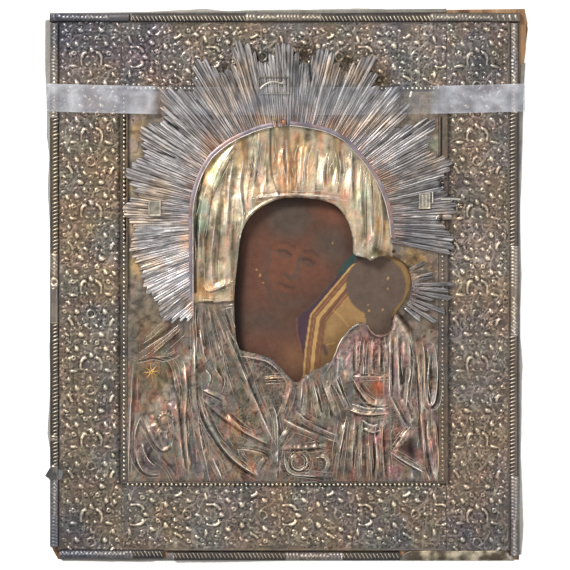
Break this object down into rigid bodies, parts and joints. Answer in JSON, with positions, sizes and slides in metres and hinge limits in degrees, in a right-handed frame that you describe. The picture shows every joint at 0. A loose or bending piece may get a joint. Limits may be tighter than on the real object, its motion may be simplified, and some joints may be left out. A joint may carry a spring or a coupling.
{
  "type": "icon panel",
  "caption": "Wooden devotional panel under an embossed silver cover with stamped borders, draped figure relief, rayed halo and an opening for the painted faces.",
  "frame": {"origin": "middle of the panel's back, on the surface it lies on", "axes": "+Z out of the painted face, +Y towards the top edge, +X to the viewer's right"},
  "size_m": [0.2758, 0.3164, 0.0325],
  "materials": {
    "painted_wood": "aged, painted face under worn varnish",
    "border_silver": "tarnished embossed silver sheet",
    "garment_silver": "tarnished repousse silver sheet with warm toning",
    "halo_silver": "tarnished fluted silver sheet",
    "side_silver": "dull dented silver sheet",
    "clear_tape": "frosted translucent adhesive tape",
    "copper": "worn copper",
    "brass": "dull brass"
  },
  "bodies": {
    "root": {"board": "painted_wood", "side_cover_left": "side_silver", "side_cover_right": "side_silver", "side_cover_top": "side_silver", "side_cover_bottom": "side_silver", "border_left": "border_silver", "border_right": "border_silver", "border_top": "border_silver", "border_bottom": "border_silver", "moulding_top_left": "border_silver", "moulding_top": "border_silver", "moulding_left_upper": "border_silver", "moulding_left_lower": "border_silver", "moulding_right": "border_silver", "moulding_bottom_left": "border_silver", "moulding_bottom": "border_silver", "garment_sheet": "garment_silver", "halo": "halo_silver", "child_halo": "halo_silver", "tape_strip": "clear_tape", "nail_copper": "copper", "nail_brass": "brass"}
  },
  "joints": []
}
